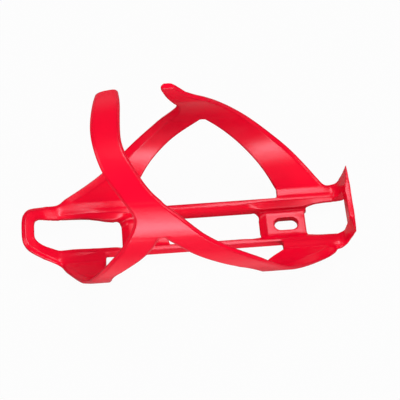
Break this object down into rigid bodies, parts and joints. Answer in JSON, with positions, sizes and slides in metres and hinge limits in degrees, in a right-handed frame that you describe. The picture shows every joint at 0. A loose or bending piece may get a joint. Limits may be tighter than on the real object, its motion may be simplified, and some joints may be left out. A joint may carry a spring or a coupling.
{
  "type": "water bottle cage",
  "caption": "Open red plastic side-entry bottle cage: railed spine with slotted mount plates, head loop, base lip and two springy arms that hug a bottle.",
  "frame": {"origin": "under the middle of the cage, on the plane of the mount plates' rear faces that sit on the bicycle's frame", "axes": "+X along the bottle from the open head to the base that stops it, -Y the side of the long arm, +Z from the bicycle's frame to the bottle"},
  "size_m": [0.1506, 0.0792, 0.0827],
  "materials": {
    "red_plastic": "semi-gloss injection-moulded plastic, red all through"
  },
  "bodies": {
    "spine": {"left_rail": "red_plastic", "right_rail": "red_plastic", "upper_mount_plate": "red_plastic", "lower_mount_plate": "red_plastic", "head_crossbar": "red_plastic", "left_head_strut": "red_plastic", "right_head_strut": "red_plastic", "left_head_flange": "red_plastic", "right_head_flange": "red_plastic", "left_base_flange": "red_plastic", "right_base_flange": "red_plastic", "base_lip": "red_plastic", "left_base_ear": "red_plastic", "right_base_ear": "red_plastic"},
    "left_arm": {"left_arm_strap": "red_plastic", "left_arm_brace": "red_plastic"},
    "left_finger": {"left_arm_finger": "red_plastic"},
    "right_arm": {"right_arm_strap": "red_plastic", "right_arm_brace": "red_plastic", "right_arm_tip": "red_plastic"}
  },
  "joints": [
    {"name": "left_arm_flex", "type": "hinge", "parent": "spine", "child": "left_arm", "pos_m": [0.0011, -0.01638, 0.00746], "axis": [1, 0, 0], "range_deg": [-1.5, 6], "stiffness_Nm_per_rad": 8},
    {"name": "right_arm_flex", "type": "hinge", "parent": "spine", "child": "right_arm", "pos_m": [0.0011, 0.01638, 0.00746], "axis": [-1, 0, 0], "range_deg": [-1.5, 5], "stiffness_Nm_per_rad": 10},
    {"name": "left_finger_flex", "type": "hinge", "parent": "left_arm", "child": "left_finger", "pos_m": [0.0011, -0.02457, 0.07269], "axis": [1, 0, 0], "range_deg": [-1.5, 8], "stiffness_Nm_per_rad": 4}
  ]
}
